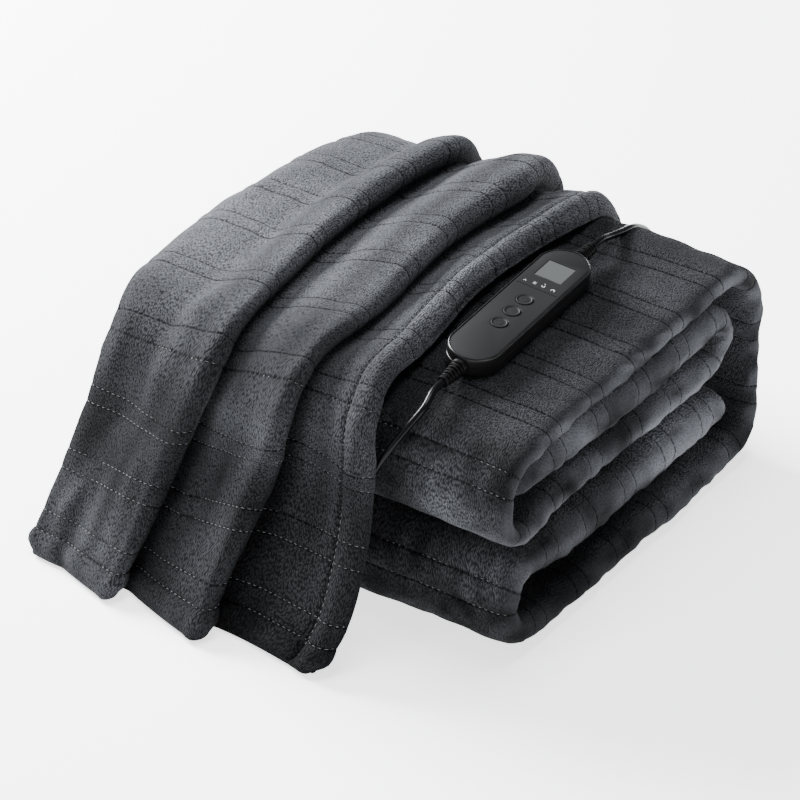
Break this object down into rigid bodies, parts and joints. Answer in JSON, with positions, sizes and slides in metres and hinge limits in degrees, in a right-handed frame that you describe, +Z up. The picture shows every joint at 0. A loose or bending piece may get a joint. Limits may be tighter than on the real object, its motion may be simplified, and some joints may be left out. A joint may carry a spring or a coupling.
{
  "type": "electric heated throw blanket",
  "caption": "Quilted plush heated throw folded into a block with one end draped over the front, and a corded push-button controller with a display lying on top.",
  "frame": {"origin": "near the middle of the folded block's flat underside, on the floor", "axes": "+Z up, +X along the front rolls to the right, +Y from the hanging hem to the back of the block"},
  "size_m": [0.3423, 0.5305, 0.1981],
  "materials": {
    "plush": "short brushed pile",
    "shell_plastic": "satin gloss",
    "plate_plastic": "matte",
    "display_window": "blank grey display",
    "cord_rubber": "satin",
    "pin_metal": "plated"
  },
  "bodies": {
    "throw": {"blanket": "plush", "controller_lower_shell": "shell_plastic", "controller_upper_shell": "shell_plastic", "face_plate": "plate_plastic", "display_window": "display_window", "lead_relief": "cord_rubber", "mains_relief": "cord_rubber", "lead_cord": "cord_rubber", "mains_cord": "cord_rubber", "mains_coil": "cord_rubber", "coil_tie": "cord_rubber", "mains_tail": "cord_rubber", "plug_body": "cord_rubber", "plug_pin_left": "pin_metal", "plug_pin_right": "pin_metal"},
    "button_upper_body": {"button_upper": "plate_plastic"},
    "button_middle_body": {"button_middle": "plate_plastic"},
    "button_lower_body": {"button_lower": "plate_plastic"}
  },
  "joints": [
    {"name": "button_upper_press", "type": "slide", "parent": "throw", "child": "button_upper_body", "axis": [-0.0992, 0.0375, -0.9944], "range_m": [0, 0.0008], "stiffness_N_per_m": 300, "springref_m": -0.0005},
    {"name": "button_middle_press", "type": "slide", "parent": "throw", "child": "button_middle_body", "axis": [-0.0992, 0.0375, -0.9944], "range_m": [0, 0.0008], "stiffness_N_per_m": 300, "springref_m": -0.0005},
    {"name": "button_lower_press", "type": "slide", "parent": "throw", "child": "button_lower_body", "axis": [-0.0992, 0.0375, -0.9944], "range_m": [0, 0.0008], "stiffness_N_per_m": 300, "springref_m": -0.0005}
  ]
}
